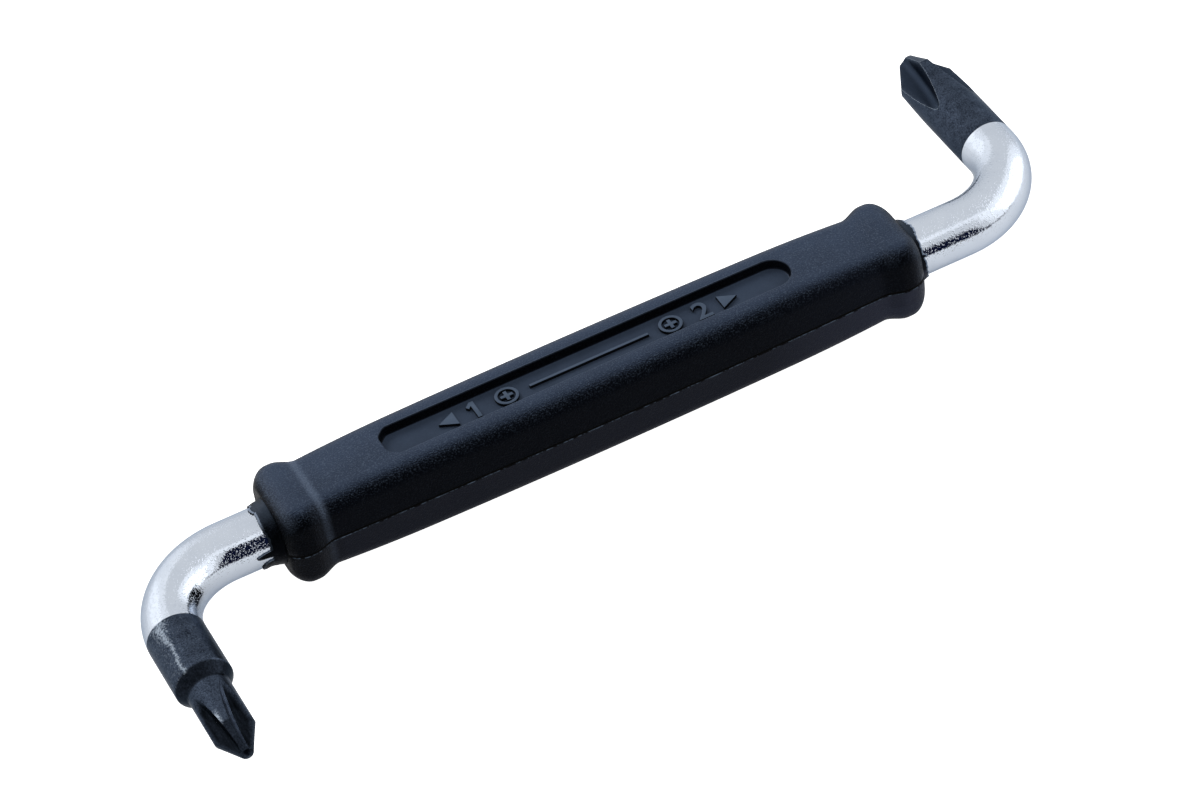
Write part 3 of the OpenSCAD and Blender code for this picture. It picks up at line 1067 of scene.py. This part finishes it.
# How far the flash reaches at an angle round the bar: uneven, with a few longer teeth
def lipLength(lip, turn):
    degrees = (math.degrees(turn) + 180) % 360 - 180
    around = Vector((math.cos(turn), math.sin(turn), 0))
    length = lip["length"]
    for axis, (pace, share) in enumerate(lips["waves"]):
        shift = Vector((0, 0, 0))
        shift[axis] = lip["seed"]
        length += lip["ragged"] * share * noise.noise(around * pace + shift)
    for angle, width, extra, pointed in lip["teeth"]:
        away = abs((degrees - angle + 180) % 360 - 180) / width
        if away < 1:
            length += extra * (1 - away ** 2) ** pointed
    return max(lips["shortest"], length)


def lipRing(lip, share, inner):
    face = handle["length"] / 2
    spots = []
    for i in range(lips["around"]):
        turn = 2 * math.pi * i / lips["around"]
        length = lipLength(lip, turn)
        x = face - lips["buried"] + (length + lips["buried"]) * share
        out = max(0, x - face)
        thinned = min(1, out / lips["thinOver"]) ** lips["thinCurve"]
        thick = lip["thick"] + (lip["edge"] - lip["thick"]) * thinned
        around = Vector((math.cos(turn), math.sin(turn), x))
        shift = Vector((lip["seed"], 2, 5))
        thick *= 1 + lips["uneven"] * noise.noise(around * lips["unevenPace"] + shift)
        radius = bar["radius"] + (lips["clear"] if inner else thick)
        y, z = -radius * math.cos(turn), bar["height"] + radius * math.sin(turn)
        spots.append(Vector((lip["side"] * x, y, z)))
    return spots


def buildLip(name, lip):
    rings = [lipRing(lip, i / lips["rows"], False) for i in range(lips["rows"] + 1)]
    rings += [lipRing(lip, share, True) for share in (1, 0.6, 0)]
    bm = bmesh.new()
    first, last = growRings(bm, rings, capped=False)
    edges = []
    for ring in (first, last):
        edges += [bm.edges.get((one, other)) for one, other in zip(ring, ring[1:] + ring[:1])]
    bmesh.ops.bridge_loops(bm, edges=edges)
    bmesh.ops.recalc_face_normals(bm, faces=bm.faces)
    for i, face in enumerate(bm.faces):
        # the last row before the torn edge, and the edge
        face.material_index = 1 if i // lips["around"] in (lips["rows"] - 1, lips["rows"]) else 0
    return finishPiece(name, bm, [lipFlash, lipEdge], "handle_plastic", 40)


plasticPieces += [buildLip("lip_ph1", ph1Lip), buildLip("lip_ph2", ph2Lip)]
print("lips made")


# Floor, light and camera

studio = {
    "tableSize": 3.0,
    "tableGap": 0.02,  # mm between the table and the handle, so that no two faces share one plane
    "tableGlow": 1.05,
    "tableShine": 0.36,
    "worldLight": 0.7,
    "cardBlack": "#141a33",
    # the dark side of the studio in front, seen by reflections only: X and Z of its corners, in m
    "cardDistance": 0.5,
    "cardOutline": [(0.34, 0), (0.31, 0.1), (0.21, 0.25), (0.12, 0.5), (-0.3, 0.56), (-0.3, 0)],
    "cardLift": 0.3,  # mm above the table
    "cardFoot": -0.045,  # Y of the nearer edge of its part that lies on the table
    "cardFootWidth": 0.55,  # that edge's share of the card's width
}

# Where each lamp stands, its width and height, in m, and its power in W
lamps = {
    "rightBox": ((0.735, -0.05, 0.26), (0.75, 0.5), 0.95),
    "rightHalo": ((0.75, -0.1, 0.3), (1.3, 0.85), 1.7),
    "backBox": ((-0.34, 0.65, 0.33), (0.36, 0.42), 0.15),
    "backHalo": ((-0.32, 0.66, 0.34), (0.75, 0.75), 0.6),
    "frontStrip": ((0.17, -0.46, 0.63), (0.7, 0.2), 0.18),
    "sheenBox": ((-0.25, 0.6, 0.5), (0.4, 0.4), 4.2),  # for the plastic pieces only
}


def makeFloor():
    bm = bmesh.new()
    lowered = Matrix.Translation((0, 0, -studio["tableGap"]))
    half = studio["tableSize"] / 2 / mm
    bmesh.ops.create_grid(bm, x_segments=1, y_segments=1, size=half, matrix=lowered)
    material, tree = newMaterial("paleTable")
    ray = addNode(tree, "ShaderNodeLightPath").outputs
    reflected = reckon(tree, "MAXIMUM", ray["Is Glossy Ray"], ray["Is Transmission Ray"])
    shine = reckon(tree, "MULTIPLY", reflected, studio["tableShine"])
    strength = reckon(tree, "MULTIPLY_ADD", ray["Is Camera Ray"], studio["tableGlow"], shine)
    base = addNode(tree, "ShaderNodeBsdfDiffuse", {"Color": colourOf("#f4f4f4")})
    glow = addNode(tree, "ShaderNodeEmission", {"Color": (1, 1, 1, 1), "Strength": strength})
    both = addNode(tree, "ShaderNodeAddShader", {0: base.outputs[0], 1: glow.outputs[0]})
    addNode(tree, "ShaderNodeOutputMaterial", {"Surface": both.outputs[0]})
    floor = finishPiece("floor", bm, [material])


def makeWorld():
    world = bpy.data.worlds.new("softRoom")
    bpy.context.scene.world = world
    world.use_nodes = True
    tree = world.node_tree
    tree.nodes.clear()
    ray = addNode(tree, "ShaderNodeLightPath").outputs
    seen = reckon(tree, "MAXIMUM", ray["Is Camera Ray"], ray["Is Glossy Ray"])
    seen = reckon(tree, "MAXIMUM", seen, ray["Is Transmission Ray"])
    strength = spread(tree, seen, (0, 1), (studio["worldLight"], 1))
    back = addNode(tree, "ShaderNodeBackground", {"Color": (1, 1, 1, 1), "Strength": strength})
    addNode(tree, "ShaderNodeOutputWorld", {"Surface": back.outputs[0]})


# A lamp that faces the tool
def softBox(name, place, size, power):
    lamp = bpy.data.lights.new(name, "AREA")
    lamp.shape = "RECTANGLE"
    lamp.size, lamp.size_y = size
    lamp.energy = power
    box = bpy.data.objects.new(name, lamp)
    box.location = place
    box.rotation_euler = (-Vector(place)).to_track_quat("-Z", "Y").to_euler()
    bpy.context.scene.collection.objects.link(box)
    return box


# A black card that only reflections see, as a studio puts beside bright metal
def makeDarkCard():
    bm = bmesh.new()
    far, lift = -studio["cardDistance"] / mm, studio["cardLift"]
    corners = [bm.verts.new((x / mm, far, z / mm + lift)) for x, z in studio["cardOutline"]]
    bm.faces.new(corners)
    foot = bmesh.ops.extrude_edge_only(bm, edges=[bm.edges.get((corners[0], corners[-1]))])["geom"]
    for vert in [item for item in foot if isinstance(item, bmesh.types.BMVert)]:
        vert.co.y = studio["cardFoot"] / mm
        vert.co.x *= studio["cardFootWidth"]
    material, tree = newMaterial("blackCard")
    black = addNode(tree, "ShaderNodeBsdfDiffuse", {"Color": colourOf(studio["cardBlack"])})
    addNode(tree, "ShaderNodeOutputMaterial", {"Surface": black.outputs[0]})
    card = finishPiece("darkCard", bm, [material])
    card.visible_camera = False
    card.visible_diffuse = False
    card.visible_shadow = False


makeFloor()
makeWorld()
boxes = {name: softBox(name, *lamp) for name, lamp in lamps.items()}
plasticOnly = bpy.data.collections.new("plasticPieces")
for piece in plasticPieces:
    plasticOnly.objects.link(piece)
boxes["sheenBox"].light_linking.receiver_collection = plasticOnly
makeDarkCard()

# The photograph's camera, fitted to the bar's outline: place in mm, turn in degrees, lens in mm
view = {
    "place": (-103.883, -301.416, 296.093),
    "turn": (46.8784, 7.8111, -26.3167),
    "lens": 130.369,
}
camera = bpy.data.objects.new("camera", bpy.data.cameras.new("camera"))
camera.location = Vector(view["place"]) * mm
camera.rotation_euler = [math.radians(a) for a in view["turn"]]
camera.data.sensor_width = 36
camera.data.lens = view["lens"]
camera.data.clip_start = 0.01
camera.data.clip_end = 20
bpy.context.scene.collection.objects.link(camera)
bpy.context.scene.camera = camera
bpy.context.scene.view_settings.view_transform = "Standard"
print("studio made")
